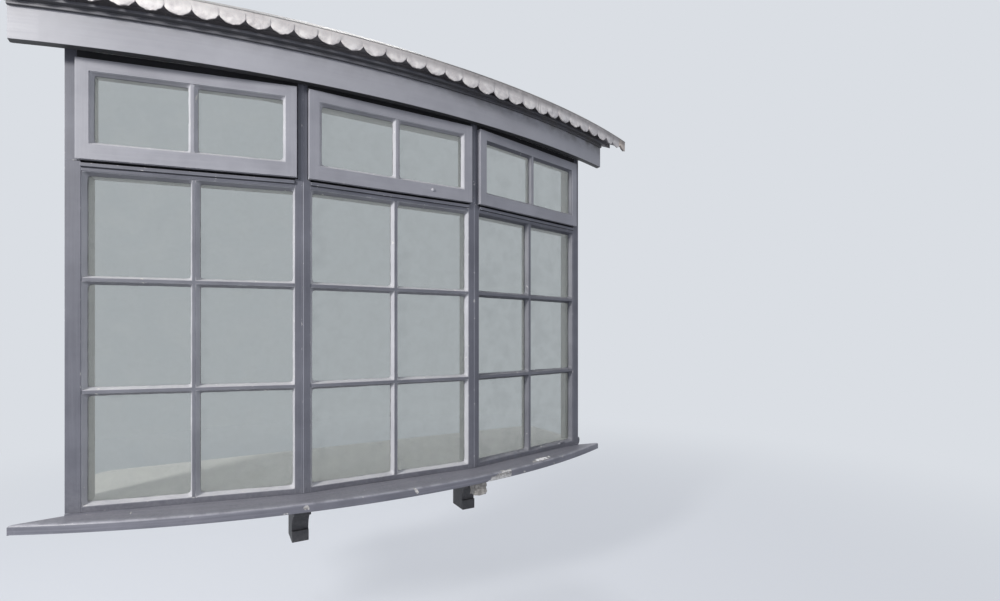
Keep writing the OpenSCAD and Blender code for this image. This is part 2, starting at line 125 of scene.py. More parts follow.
def surface(name, grids, materials, replaced=(), closeRows=False, smooth=True,
            marks=None):
    # puts grids of worked-out points into one mesh and closes their poles
    points, faces, count = [], [], 0
    for grid in grids:
        faces.append(gridFaces(*grid.shape[:2], closeRows) + count)
        points.append(grid.reshape(-1, 3))
        count += len(points[-1])
    mesh = bpy.data.meshes.new(name)
    mesh.from_pydata(np.concatenate(points).tolist(), [], np.concatenate(faces).tolist())
    for label, values in (marks or {}).items():
        mark(mesh, label, values)
    work = bmesh.new()
    work.from_mesh(mesh)
    bmesh.ops.remove_doubles(work, verts=work.verts, dist=weld["grid"])
    bmesh.ops.dissolve_degenerate(work, edges=work.edges, dist=weld["sliver"])
    bmesh.ops.recalc_face_normals(work, faces=work.faces)
    work.to_mesh(mesh)
    work.free()
    mesh.polygons.foreach_set("use_smooth", [smooth] * len(mesh.polygons))
    return asPiece(name, mesh, materials, replaced)


def fillHoles(piece, corners):
    # closes a shell's open ends, which have at most so many corners
    work = bmesh.new()
    work.from_mesh(piece.data)
    bmesh.ops.holes_fill(work, edges=[e for e in work.edges if e.is_boundary],
                         sides=corners)
    bmesh.ops.recalc_face_normals(work, faces=work.faces)
    work.to_mesh(piece.data)
    work.free()


def mergedCad(name, planar):
    # a CAD node's loose triangles, merged into flat faces
    work = bmesh.new()
    work.from_mesh(cad[name].data)
    bmesh.ops.remove_doubles(work, verts=work.verts, dist=weld["cad"])
    bmesh.ops.dissolve_limit(work, angle_limit=math.radians(planar), verts=work.verts,
                             edges=work.edges)
    return work


def faceArrays(piece):
    # the middle and the normal of each face
    polygons = piece.data.polygons
    middle, normal = np.zeros(len(polygons) * 3), np.zeros(len(polygons) * 3)
    polygons.foreach_get("center", middle)
    polygons.foreach_get("normal", normal)
    return middle.reshape(-1, 3), normal.reshape(-1, 3)


def paintFaces(piece, index):
    # which of the piece's materials each face has
    piece.data.polygons.foreach_set("material_index", index.astype(np.int32))


# plan of the bow: three flat lights, in metres
bow = {"halfPitch": 0.332, "face": 0.150, "angle": 12.8, "ventHalf": 0.3145,
       "sightHalf": 0.2985, "ventSightHalf": 0.2705, "bar": 0.026, "jamb": 0.348}
sides = {"left": -1, "middle": 0, "right": 1}


def toPlan(side, x, y):
    # a light's own across and inward distances, turned and set in the bow's plan
    turn = math.radians(bow["angle"]) * side
    midX = side * bow["halfPitch"] * (1 + math.cos(turn))
    midY = -bow["face"] + abs(side) * bow["halfPitch"] * abs(math.sin(turn))
    return (midX + x * math.cos(turn) - y * math.sin(turn),
            midY + x * math.sin(turn) + y * math.cos(turn))


def toLight(side, points):
    # the other way round: points in the plan to across and inward distances
    turn = math.radians(bow["angle"]) * side
    midX, midY = toPlan(side, 0.0, 0.0)
    x, y = points[:, 0] - midX, points[:, 1] - midY
    return (x * math.cos(turn) + y * math.sin(turn),
            -x * math.sin(turn) + y * math.cos(turn))


def setInPlan(side, points):
    # points of a light, set in the bow's plan
    x, y = toPlan(side, points[..., 0], points[..., 1])
    return np.stack([x, y, points[..., 2]], -1)


def onArc(plan, radius, angle, level):
    # points at an angle round an arc whose centre lies inside, on the middle line
    return np.stack([radius * np.sin(angle), plan["centre"] - radius * np.cos(angle),
                     level], -1)


# plan of the roof, about one centre
roof = {"radius": 3.5626, "centre": 3.3576, "lobePitch": 0.074, "lobes": 36,
        "lobeTop": 1.590, "lobeHigh": 0.047, "lobeThick": 0.006, "slope": 32.0,
        "leadThick": 0.003, "half": 1.2990, "eaves": 0.045}
roof["edge"] = roof["radius"] + roof["eaves"]
roofArc = (roof["radius"], roof["centre"])

# the sill's plan and section: its circle runs through its two ends and its nose
sill = {"half": 1.1250, "projection": 0.2577, "under": -0.020, "nose": 0.010,
        "foot": 0.020, "round": 0.007, "slopeRun": 0.1039, "deep": 0.262,
        "dripSet": 0.026, "dripWide": 0.009, "dripDeep": 0.006, "dripSide": 0.0001,
        "stations": 700, "sharp": 40, "slopeTo": 0.02, "underStops": (0.08, 0.14, 0.2),
        # down the front: inward distance and level
        "front": ((0, -0.004), (0, -0.010), (0, -0.016), (0.0008, -0.019), (0.003, -0.020))}
sill["radius"] = (sill["half"] ** 2 + sill["projection"] ** 2) / (2 * sill["projection"])
sill["centre"] = sill["radius"] - sill["projection"]
sillArc = (sill["radius"], sill["centre"])


def newMaterial(name):
    # an empty node tree with the coordinates that every pattern reads
    material = bpy.data.materials.new(name)
    material.use_nodes = True
    material.node_tree.nodes.clear()
    place = add(material.node_tree, "TexCoord").outputs["Object"]
    return material, material.node_tree, place


def alongTimber(tree, place, way):
    # coordinates whose X runs along the timber: up a post, along a light's rails,
    # from back to front, or round an arc, as its radius and the depth of its centre
    if isinstance(way, tuple):
        radius, centre = way
        split = add(tree, "SeparateXYZ", links={0: place}).outputs
        inward = add(tree, "Math", {0: centre}, {1: split["Y"]}, operation="SUBTRACT")
        angle = add(tree, "Math", links={0: split["X"], 1: inward}, operation="ARCTAN2")
        arc = add(tree, "Math", {1: radius}, {0: angle}, operation="MULTIPLY")
        spoke = add(tree, "CombineXYZ", links={"X": split["X"], "Y": inward})
        spoke = add(tree, "VectorMath", links={0: spoke}, operation="LENGTH")
        return add(tree, "CombineXYZ", links={"X": arc, "Y": spoke.outputs["Value"],
                                              "Z": split["Z"]})
    if way == "up":
        return add(tree, "VectorRotate", {"Angle": math.pi / 2}, {"Vector": place},
                   rotation_type="Y_AXIS")
    turn = math.pi / 2 if way == "out" else math.radians(bow["angle"]) * sides[way]
    return add(tree, "VectorRotate", {"Angle": -turn}, {"Vector": place},
               rotation_type="Z_AXIS")


def drawnOut(tree, place, sizes, pattern):
    # a noise with its own length along each axis, as brush marks and runs have
    drawn = add(tree, "Mapping", {"Scale": [1 / size for size in sizes]},
                {"Vector": place})
    return add(tree, "TexNoise", {"Scale": 1.0, **pattern}, {"Vector": drawn})


def coated(tree, look, first, second, patches, coats=()):
    # two tones in patches, then coats, each of which hides what is below by its share
    body = add(tree, "Mix", {6: linear(look[first]), 7: linear(look[second])},
               {0: patches}, data_type="RGBA").outputs[2]
    for tone, share in coats:
        body = add(tree, "Mix", {7: linear(look[tone])}, {0: share, 6: body},
                   data_type="RGBA").outputs[2]
    return body


def finished(material, values, links, relief, strength, high):
    # the shader, with the relief as a bump of so many metres at full strength
    tree = material.node_tree
    bump = add(tree, "Bump", {"Strength": strength, "Distance": high}, {"Height": relief})
    shader = add(tree, "BsdfPrincipled", values, {**links, "Normal": bump})
    add(tree, "OutputMaterial", links={"Surface": shader})
    return material


def brushedPaint(name, look, way):
    # exterior gloss paint, brushed on softwood: drawn-out brush marks along the
    # timber, soft blotches, dust on what faces up, grime and painted shade on what faces
    # down, and small chips to the undercoat
    material, tree, place = newMaterial(name)
    split = add(tree, "SeparateXYZ", links={0: place}).outputs
    geometry = add(tree, "NewGeometry").outputs
    facing = add(tree, "SeparateXYZ", links={0: geometry["Normal"]}).outputs["Z"]
    streak = drawnOut(tree, alongTimber(tree, place, way),
                      (look["streakLong"], look["streak"], look["streak"]),
                      {"Detail": 3.0, "Roughness": 0.6})
    blotch, speck, chip = (
        add(tree, "TexNoise", {"Scale": 1 / look[size], "Detail": detail,
                               "Roughness": rough, "Distortion": bent}, {"Vector": place})
        for size, detail, rough, bent in (("blotch", 5.0, 0.6, 0.0),
                                          ("speck", 6.0, 0.7, 0.0),
                                          ("chip", 7.0, 0.62, 0.3)))
    patches = add(tree, "MapRange", {1: 0.36, 2: 0.66}, {0: blotch})
    streaky = add(tree, "MapRange", {1: 0.42, 2: 0.72, 4: look["streakTone"]},
                  {0: streak})
    # what faces down is darker: grime, and painted shade for the shade beneath things
    downwardGrimeAndShade = add(tree, "MapRange", {1: -0.35, 2: -0.9, 4: look["grimeAndShade"]}, {0: facing})
    coats = [("pale", streaky), ("grimeAndShadeTone", downwardGrimeAndShade)]
    if look["darkBand"]:
        # darker in patches, more of it up towards the moulding and further right
        darkBandShare = add(tree, "TexNoise", {"Scale": 1 / look["darkBandSize"], "Detail": 5.0},
                    {"Vector": place})
        darkBandShare = add(tree, "MapRange", {1: 0.36, 2: 0.62, 4: look["darkBand"]}, {0: darkBandShare})
        right = add(tree, "MapRange", {1: 0.0, 2: 0.9, 3: 0.2}, {0: split["X"]})
        near = add(tree, "MapRange", {1: look["darkBandFrom"], 2: look["darkBandTo"]},
                   {0: split["Z"]})
        for share in (right, near):
            darkBandShare = add(tree, "Math", links={0: darkBandShare, 1: share}, operation="MULTIPLY")
        coats.append(("darkBandTone", darkBandShare))
    if look["roomTone"]:
        # an arris that faces inwards is painted with the inside
        inward = add(tree, "SeparateXYZ", links={0: geometry["True Normal"]}).outputs["Y"]
        inward = add(tree, "MapRange", {1: -0.05, 2: 0.05}, {0: inward})
        coats.append(("roomTone", inward))
    upward = add(tree, "MapRange", {1: 0.25, 2: 1.0}, {0: facing})
    low = add(tree, "MapRange", {1: 0.16, 2: 0.03, 4: 0.35}, {0: split["Z"]})
    dusty = add(tree, "Math", links={0: upward, 1: low}, operation="MAXIMUM")
    film = add(tree, "MapRange", {1: 0.35, 2: 0.6, 4: look["dust"]}, {0: speck})
    dusty = add(tree, "Math", links={0: dusty, 1: film}, operation="MULTIPLY")
    chipped = add(tree, "MapRange", {1: look["chipFrom"], 2: look["chipFrom"] + 0.012},
                  {0: chip})
    coats += [("dustTone", dusty), ("under", chipped)]
    body = coated(tree, look, "dark", "light", patches, coats)
    rough = add(tree, "MapRange", {1: 0.3, 2: 0.7, 3: look["gloss"],
                                   4: look["gloss"] + 0.16}, {0: streak})
    rough = add(tree, "Math", {1: 0.35}, {0: dusty, 2: rough}, operation="MULTIPLY_ADD")
    relief = add(tree, "Math", {1: -0.8}, {0: chipped, 2: streak},
                 operation="MULTIPLY_ADD")
    return finished(material, {"IOR": 1.5}, {"Base Color": body, "Roughness": rough},
                    relief, look["bump"], 0.0008)


# streaks are drawn 3 to 7 mm wide: real brush marks of about 1 mm wouldn't show
framePaint = {"dark": "#53545d", "light": "#62636c", "pale": "#787982",
              "dustTone": "#98969a", "under": "#b9b7b6", "streak": 0.005,
              "streakLong": 0.22, "streakTone": 0.2, "blotch": 0.16, "speck": 0.012,
              "dust": 0.5, "chip": 0.03, "chipFrom": 0.75, "gloss": 0.42, "bump": 0.16,
              "grimeAndShade": 0.75, "grimeAndShadeTone": "#202023", "darkBand": 0.0, "roomTone": ""}
barPaint = dict(framePaint, dark="#5e5f67", light="#6d6e76", pale="#84858c")
ventPaint = dict(framePaint, dark="#84848b", light="#929299", pale="#a6a6ac",
                 dustTone="#b4b3b3", under="#c9c7c5", gloss=0.4, chipFrom=0.77,
                 streakTone=0.16)
# the fascia's underside goes near black: painted shade for the dark gap over the vents
fasciaPaint = dict(framePaint, dark="#8f8f95", light="#9c9ca2", pale="#adadb2",
                   dustTone="#b2b1b2", under="#c8c6c4", streak=0.007, streakLong=0.5,
                   streakTone=0.14, blotch=0.35, dust=0.4, chipFrom=0.79, grimeAndShade=0.95,
                   grimeAndShadeTone="#171717", darkBand=0.75, darkBandSize=0.045, darkBandFrom=1.474,
                   darkBandTo=1.522, darkBandTone="#5d5a55")
# the moulding has the fascia's paint made darker, as painted shade from the lobes
mouldingPaint = dict(fasciaPaint, dark="#54545b", light="#636368", pale="#7b7a7e",
                     streak=0.004, grimeAndShade=0.6, darkBand=0.8, darkBandFrom=1.50, darkBandTo=1.51,
                     darkBandTone="#4b4846")
# a near-black copy of the frame's paint: painted shade under the fascia
headShadePaint = dict(framePaint, dark="#29292c", light="#343438", pale="#414145",
                 dustTone="#4a4848", under="#5d5a57", gloss=0.5, streakTone=0.12)
bracketPaint = dict(framePaint, dark="#2f2f33", light="#3c3c40", pale="#4d4d52",
                    dustTone="#737170", under="#86837f", dust=0.6, chipFrom=0.7,
                    gloss=0.48)
# the soffit's dark grey stands in for the shade under the lobes: painted shade
soffitPaint = dict(bracketPaint, dark="#605d5f", light="#737072", pale="#858182",
                   dustTone="#8a8683", under="#8d8780", chipFrom=0.66, grimeAndShade=0.0)
insidePaint = dict(framePaint, dark="#e2e0dc", light="#ebe9e6", pale="#f0efed",
                   dustTone="#d6d3ce", under="#c9c2b6", dust=0.3, chipFrom=0.8,
                   gloss=0.34, grimeAndShade=0.0, bump=0.08)
arrisPaint = dict(framePaint, dark="#686972", light="#797a83", pale="#93949c",
                  chipFrom=0.64, chip=0.02, grimeAndShade=0.4, roomTone="#e6e4e0")
headShadeArris = dict(headShadePaint, roomTone=arrisPaint["roomTone"])
ventArris = dict(arrisPaint, dark="#9a9aa1", light="#ababb1", pale="#bfbfc3")
# the putty's top bevels face down and go dark: grime and painted shade
puttyPaint = dict(framePaint, dark="#a7a7ad", light="#b9b9be", pale="#cacacd",
                  dustTone="#c6c5c4", under="#dcd9d3", streak=0.003, streakLong=0.05,
                  chipFrom=0.67, bump=0.4, grimeAndShade=0.6, grimeAndShadeTone="#3c3c42")
# the right light's putty is as dark as its bars: painted shade
shadedPutty = dict(puttyPaint, dark="#63646c", light="#717279", pale="#8a8b93",
                 dustTone="#a5a4a8", under="#b9b7b6")

# each paint is brushed up the posts and along the rails of each light
paints = {name: {way: brushedPaint(f"{name}_{way}", look, way)
                 for way in ("up", *sides)}
          for name, look in {"frame_gloss": framePaint, "bar_gloss": barPaint,
                             "vent_gloss": ventPaint, "inside_satin": insidePaint,
                             "head_gloss_painted_shade": headShadePaint}.items()}
frameGloss, insideSatin = paints["frame_gloss"], paints["inside_satin"]
headShadeGloss = paints["head_gloss_painted_shade"]
frameEdge = brushedPaint("frame_gloss_worn_arris", arrisPaint, "up")
ventEdge = brushedPaint("vent_gloss_worn_arris", ventArris, "up")
headShadeEdge = brushedPaint("head_gloss_painted_shade_arris", headShadeArris, "up")
puttyGloss = brushedPaint("painted_linseed_putty", puttyPaint, "up")
puttyShaded = brushedPaint("linseed_putty_painted_shade", shadedPutty, "up")
fasciaGloss = brushedPaint("fascia_gloss", fasciaPaint, roofArc)
mouldingGloss = brushedPaint("moulding_gloss_painted_shade", mouldingPaint, roofArc)
bracketGloss = brushedPaint("bracket_gloss_dusty", bracketPaint, "up")
soffitGloss = brushedPaint("soffit_gloss_painted_shade", soffitPaint, roofArc)
print("paints:", len(bpy.data.materials))


def sheetGlass(name, look):
    # old drawn sheet glass: slightly uneven, so that reflections swim, grey-green and made
    # darker as painted shade for the room behind, with a thin film of dust, thicker in
    # patches
    material, tree, place = newMaterial(name)
    swim = add(tree, "TexNoise", {"Scale": 1 / look["swim"], "Detail": 1.5},
               {"Vector": place})
    film = add(tree, "TexNoise", {"Scale": 1 / look["film"], "Detail": 8.0},
               {"Vector": place})
    rough = add(tree, "MapRange", {1: 0.5, 2: 0.8, 4: 0.12}, {0: film})
    clear = add(tree, "MapRange", {1: 0.4, 2: 0.75, 3: 1.0, 4: 1 - look["dust"]},
                {0: film})
    return finished(material, {"Base Color": linear(look["tint"]), "IOR": 1.5},
                    {"Roughness": rough, "Transmission Weight": clear}, swim, 0.3, 0.002)


def weatheredLead(name, look):
    # lead sheet after decades outside: chalky pale patina over blue-grey metal, dark
    # run-off stains, dirt and painted shade on what faces down, soft dents from dressing it
    # with a mallet
    material, tree, place = newMaterial(name)
    split = add(tree, "SeparateXYZ", links={0: place}).outputs
    facing = add(tree, "SeparateXYZ", links={
        0: add(tree, "NewGeometry").outputs["Normal"]}).outputs["Z"]
    cloud = add(tree, "TexNoise", {"Scale": 1 / look["cloud"], "Detail": 6.0,
                                   "Roughness": 0.62}, {"Vector": place})
    fine = add(tree, "TexNoise", {"Scale": 1 / look["grain"], "Detail": 6.0,
                                  "Roughness": 0.7}, {"Vector": place})
    run = drawnOut(tree, place, (look["run"], look["run"], look["runLong"]),
                   {"Detail": 5.0, "Roughness": 0.65})
    patches = add(tree, "MapRange", {1: 0.38, 2: 0.62}, {0: cloud})
    warm = add(tree, "MapRange", {1: 0.45, 2: 0.7, 4: 0.6}, {0: fine})
    stained = add(tree, "MapRange", {1: look["stainFrom"], 2: look["stainFrom"] + 0.16,
                                     4: look["stain"]}, {0: run})
    # what faces down is darker: dirt and painted shade
    under = add(tree, "MapRange", {1: -0.1, 2: -0.8, 4: 0.75}, {0: facing})
    # rain leaves dirt in the bend below the roof's edge, in patches
    bend = add(tree, "MapRange", {1: look["bendFrom"], 2: look["bendFrom"] + 0.018,
                                  4: look["bend"]}, {0: split["Z"]})
    patch = add(tree, "MapRange", {1: 0.34, 2: 0.58, 3: 0.45}, {0: cloud})
    right = add(tree, "MapRange", {1: -0.2, 2: 0.3, 3: look["bendLeft"]},
                {0: split["X"]})
    for share in (patch, right):
        bend = add(tree, "Math", links={0: bend, 1: share}, operation="MULTIPLY")
    body = coated(tree, look, "bare", "chalk", patches, [
        ("warm", warm), ("dirtAndShade", stained), ("dirtAndShade", under), ("dirtAndShade", bend)])
    relief = add(tree, "Math", {1: 0.5}, {0: fine, 2: cloud}, operation="MULTIPLY_ADD")
    rough = add(tree, "MapRange", {1: 0.3, 2: 0.7, 3: 0.48, 4: 0.78}, {0: cloud})
    return finished(material, {"Metallic": 0.08},
                    {"Base Color": body, "Roughness": rough}, relief, 0.45, 0.0025)


def sawnSoftwood(name, look, way):
    # unpainted sawn softwood, gone grey-brown in the roof void: growth rings cut
    # along, saw marks across
    material, tree, place = newMaterial(name)
    ring = drawnOut(tree, alongTimber(tree, place, way),
                    (look["ringLong"], look["ring"], look["ring"]),
                    {"Detail": 4.0, "Distortion": 0.4})
    patches = add(tree, "MapRange", {1: 0.35, 2: 0.65}, {0: ring})
    body = coated(tree, look, "early", "late", patches)
    # a wave of scale 1 is 0.31 m long, so this one is about twice as long as a mark
    saw = add(tree, "TexWave", {"Scale": 1 / look["saw"] / 6.28, "Distortion": 1.5,
                                "Detail": 2.0}, {"Vector": place}).outputs["Fac"]
    relief = add(tree, "Math", {1: 0.3}, {0: saw, 2: ring}, operation="MULTIPLY_ADD")
    return finished(material, {"Roughness": 0.75}, {"Base Color": body}, relief, 0.4,
                    0.0006)


def flakingPaint(name, look):
    # old paint over weathered wood: the mark "bare" says where it has come off, and the
    # other mark where it is worn thin and pale, with a painted highlight along the nose
    material, tree, place = newMaterial(name)
    facing = add(tree, "SeparateXYZ", links={
        0: add(tree, "NewGeometry").outputs["Normal"]}).outputs["Z"]
    bare = add(tree, "Attribute", attribute_name="bare").outputs["Fac"]
    rubAndHighlight = add(tree, "Attribute", attribute_name="rubAndHighlight").outputs["Fac"]
    streak = drawnOut(tree, alongTimber(tree, place, sillArc),
                      (look["streakLong"], look["streak"], look["streak"]),
                      {"Detail": 4.0, "Roughness": 0.6})
    blotch = add(tree, "TexNoise", {"Scale": 1 / look["blotch"], "Detail": 6.0,
                                    "Roughness": 0.6}, {"Vector": place})
    fine = add(tree, "TexNoise", {"Scale": 1 / look["speck"], "Detail": 7.0,
                                  "Roughness": 0.7}, {"Vector": place})
    patches = add(tree, "MapRange", {1: 0.36, 2: 0.64}, {0: blotch})
    streaky = add(tree, "MapRange", {1: 0.45, 2: 0.75, 4: 0.5}, {0: streak})
    upward = add(tree, "MapRange", {1: 0.3, 2: 1.0}, {0: facing})
    film = add(tree, "MapRange", {1: 0.3, 2: 0.62, 4: look["dust"]}, {0: fine})
    dusty = add(tree, "Math", links={0: upward, 1: film}, operation="MULTIPLY")
    # paler along the nose: paint worn thin, and a painted highlight
    rubbedAndHighlight = add(tree, "Math", {1: 0.85}, {0: rubAndHighlight}, operation="MULTIPLY")
    # what faces down is darker: grime and painted shade
    downwardGrimeAndShade = add(tree, "MapRange", {1: -0.35, 2: -0.9, 4: 0.7}, {0: facing})
    body = coated(tree, look, "dark", "light", patches, [
        ("pale", streaky), ("dustTone", dusty), ("rubbedAndHighlight", rubbedAndHighlight),
        ("grimeAndShadeTone", downwardGrimeAndShade)])
    woody = add(tree, "Math", {1: 0.7}, {0: fine, 2: streak}, operation="MULTIPLY_ADD")
    woody = add(tree, "MapRange", {1: 0.74, 2: 0.98}, {0: woody})
    # above 1 the mark says that the flake stopped at the white primer
    primed = add(tree, "MapRange", {1: 1.05, 2: 1.25}, {0: bare})
    wood = coated(tree, look, "wood", "woodPale", woody, [("primer", primed)])
    edge = add(tree, "Math", {1: 0.35}, {0: fine, 2: bare}, operation="MULTIPLY_ADD")
    off = add(tree, "MapRange", {1: 0.62, 2: 0.7}, {0: edge})
    body = add(tree, "Mix", links={0: off, 6: body, 7: wood}, data_type="RGBA").outputs[2]
    rough = add(tree, "MapRange", {3: look["gloss"], 4: 0.85}, {0: off})
    rough = add(tree, "Math", {1: 0.3}, {0: dusty, 2: rough}, operation="MULTIPLY_ADD")
    relief = add(tree, "Math", {1: -1.6}, {0: off, 2: streak}, operation="MULTIPLY_ADD")
    return finished(material, {"IOR": 1.5}, {"Base Color": body, "Roughness": rough},
                    relief, 0.5, 0.001)


# the tint is darker than the glass's own: painted shade for the room behind
glass = sheetGlass("drawn_sheet_glass", {"tint": "#bcc0be", "swim": 0.11, "film": 0.06,
                                         "dust": 0.13})
# saw marks 4 mm wide, light and dark in turn
softwood = {"early": "#8d7860", "late": "#6b5842", "ring": 0.007, "ringLong": 1 / 1.2,
            "saw": 0.004}
boarding = sawnSoftwood("sawn_softwood_boards", softwood, roofArc)
bearers = sawnSoftwood("sawn_softwood_bearers", softwood, "out")
bareSide = sawnSoftwood("sawn_softwood_posts", softwood, "up")
leadRoof = {"bare": "#8e8e90", "chalk": "#b9b7b5", "warm": "#c6c0ba",
            "dirtAndShade": "#5d5a57", "cloud": 0.09, "run": 0.03, "runLong": 0.25,
            "grain": 0.006, "stainFrom": 0.54, "stain": 0.5, "bendFrom": 1.5,
            "bend": 0.15, "bendLeft": 1.0}
leadLobe = dict(leadRoof, bare="#bdb9b9", chalk="#dddad8", warm="#e3d7d1",
                dirtAndShade="#5c5759", cloud=0.03, run=0.016, grain=0.004, stainFrom=0.6,
                bendFrom=1.560, bend=0.68, bendLeft=0.35)
leadRoofSheet = weatheredLead("weathered_lead_sheet", leadRoof)
leadChalky = weatheredLead("chalky_lead_lobes", leadLobe)
leadCream = weatheredLead("cream_lead_ends", dict(leadLobe, bare="#bdb3aa",
                                                  chalk="#d8cec4", warm="#dccbbd"))
wornPaint = {"dark": "#61626b", "light": "#707079", "pale": "#86868f",
             "dustTone": "#98969b", "rubbedAndHighlight": "#a1a1a9", "grimeAndShadeTone": "#2f2e33",
             "wood": "#8b8885", "woodPale": "#d8d6d4", "primer": "#efeeee",
             "streak": 0.006, "streakLong": 0.25, "blotch": 0.2, "speck": 0.01,
             "dust": 0.4, "gloss": 0.4}
sillPaint = flakingPaint("sill_paint_flaking", wornPaint)
blockPaint = flakingPaint("weathered_block", dict(
    wornPaint, dark="#77746f", light="#8b8782", pale="#9c9792", wood="#827e79",
    woodPale="#aca8a2"))
print("materials:", len(bpy.data.materials))

# timber: each CAD piece again, with its arrises rounded by many coats of paint; the
# inside's paint begins at a depth behind a light's face
timber = {"arris": 0.0014, "segments": 2, "planar": 0.15, "flat": 10, "bevelFrom": 28,
          "insideFrom": 0.0285, "bareFrom": 0.008, "bareSide": 0.99,
          "stile": 0.2785, "tongue": 0.005, "near": 0.001}
vent = {"railEnds": (1.155, 1.378), "insideFrom": 0.0025, "edge": 0.002, "foot": 0.012}


def behind(lights, points):
    # distance behind the face of a light, or behind the nearest of several
    return np.min([toLight(light, points)[1] for light in lights], 0)


def cutAcross(side, across):
    # an upright plane square to a light's face, as its point and its normal
    turn = math.radians(bow["angle"]) * side
    return (*toPlan(side, across, 0.0), 0.0), (math.cos(turn), math.sin(turn), 0.0)


def cutFace(side):
    # the upright plane of a light's face
    turn = math.radians(bow["angle"]) * side
    return (*toPlan(side, 0.0, 0.0), 0.0), (-math.sin(turn), math.cos(turn), 0.0)


def softened(name, materials, arris, arrisMaterial=-1, cuts=()):
    # cuts are planes where faces are parted, so that each board's brush marks can run
    # its own way and paint can end where it does
    work = mergedCad(name, timber["planar"])
    for point, normal in cuts:
        bmesh.ops.bisect_plane(work, geom=[*work.verts, *work.edges, *work.faces],
                               plane_co=point, plane_no=normal, dist=weld["sliver"])
    mesh = bpy.data.meshes.new(name + "_painted")
    work.to_mesh(mesh)
    work.free()
    mesh.polygons.foreach_set("use_smooth", [True] * len(mesh.polygons))
    mesh.set_sharp_from_angle(angle=math.radians(timber["flat"]))
    piece = asPiece(name + "_painted", mesh, materials, [name])
    bevel = piece.modifiers.new("arris", "BEVEL")
    bevel.width = arris
    bevel.segments = timber["segments"]
    bevel.limit_method = "ANGLE"
    bevel.angle_limit = math.radians(timber["bevelFrom"])
    bevel.harden_normals = True
    bevel.material = arrisMaterial
    return piece


# the head rails take the near-black paint, which is painted shade
outsides = {"vent_sash": "vent_gloss", "head_rail": "head_gloss_painted_shade",
            "glazing_bars": "bar_gloss"}
edges = {"vent_sash": ventEdge, "head_rail": headShadeEdge}
# of a sash the stiles stand and the rails lie; of the bars, only the middle one stands
joints = {"vent_sash": timber["stile"], "glazing_bars": timber["tongue"]}
for side, light in sides.items():
    for kind in ("bottom_rail", "transom", "head_rail", "glazing_bars", "vent_sash"):
        name = f"{kind}_{side}"
        cuts = [cutAcross(light, s * joints[kind]) for s in (-1, 1) if kind in joints]
        if kind == "vent_sash":
            cuts += [((0, 0, z), (0, 0, 1)) for z in vent["railEnds"]]
        outer = paints[outsides.get(kind, "frame_gloss")]
        piece = softened(name, [outer["up"], outer[side], insideSatin["up"],
                                insideSatin[side], edges.get(kind, frameEdge)],
                         timber["arris"], 4, cuts)
        middle = faceArrays(piece)[0]
        across, depth = toLight(light, middle)
        across, level = np.abs(across), middle[:, 2]
        inside = depth > (vent if kind == "vent_sash" else timber)["insideFrom"]
        lying = np.ones(len(across), bool)
        if kind == "vent_sash":
            # the sash's own edges keep the outside's paint
            heights = [corner[2] for corner in cad[name].bound_box]
            rim = (across > bow["ventHalf"] - vent["edge"]) | (
                level > max(heights) - vent["edge"])
            inside &= ~(rim | (level < min(heights) + vent["foot"]))
            low, high = vent["railEnds"]
            between = (level > low + timber["near"]) & (level < high - timber["near"])
            lying = (across < timber["stile"] - timber["near"]) & ~between
        elif kind == "glazing_bars":
            lying = across > timber["tongue"] + timber["near"]
        paintFaces(piece, 2 * inside + lying)

for name, lights in {"jamb_left": [-1], "jamb_right": [1], "mullion_left": [-1, 0],
                     "mullion_right": [1, 0]}.items():
    # a jamb's side was left bare where it is built in
    piece = softened(name, [frameGloss["up"], insideSatin["up"], frameEdge, bareSide],
                     timber["arris"], 2,
                     [((0, timber["bareFrom"], 0), (0, 1, 0))])
    middle = faceArrays(piece)[0]
    coat = np.where(behind(lights, middle) > timber["insideFrom"], 1, 0)
    coat[(np.abs(middle[:, 0]) > timber["bareSide"])
         & (middle[:, 1] > timber["bareFrom"])] = 3
    paintFaces(piece, coat)

# the head board is white inside, and near black in front of the rails as painted shade
board = softened("head_board", [insideSatin["middle"], headShadeGloss["middle"], boarding],
                 timber["arris"], -1,
                 [cutFace(light) for light in sides.values()])
middle, normal = faceArrays(board)
coat = np.where(behind(sides.values(), middle) < 0, 1, 0)
coat[(normal[:, 2] > 0.5) | (np.abs(normal[:, 0]) > 0.9)] = 2
paintFaces(board, coat)

# the fascia's back stays bare; it faces the arc's centre
fascia = softened("fascia", [fasciaGloss, boarding], 0.0018)
middle, normal = faceArrays(fascia)
spoke = middle[:, :2] - (0, roof["centre"])
outward = (normal[:, :2] * spoke).sum(1) / np.hypot(spoke[:, 0], spoke[:, 1])
paintFaces(fascia, outward < -0.5)
softened("fascia_moulding", [mouldingGloss], 0.0012)
softened("bracket_left", [bracketGloss], 0.002)
softened("bracket_right", [bracketGloss], 0.002)
softened("window_board", [insideSatin["middle"]], 0.003)

# the boards are painted where they stand out past the fascia, at the ends and below; the
# paint's dark grey is painted shade
deck = softened("roof_deck", [boarding, soffitGloss], 0.0008)
middle, normal = faceArrays(deck)
reach = np.hypot(middle[:, 0], roof["centre"] - middle[:, 1])
paintFaces(deck, (reach > roof["radius"]) | (np.abs(normal[:, 0]) > 0.9)
           | (normal[:, 2] < -0.95))
print("timber: softened")

# a round-headed stop on the middle vent's bottom rail
knob = {"x": 0.1426, "z": 1.1331, "face": -0.168, "radius": 0.0066, "high": 0.0055,
        "sunk": 0.0005, "straight": 0.0012, "step": 0.0014, "head": 0.92, "cols": 32}
bend = np.linspace(0, np.pi / 2, 9)[:, None]
profile = np.concatenate([
    [[0, -knob["sunk"]], [knob["radius"], -knob["sunk"]],
     [knob["radius"], knob["straight"]]],
    np.hstack([knob["radius"] * knob["head"] * np.cos(bend),
               knob["step"] + (knob["high"] - knob["step"]) * np.sin(bend)])])
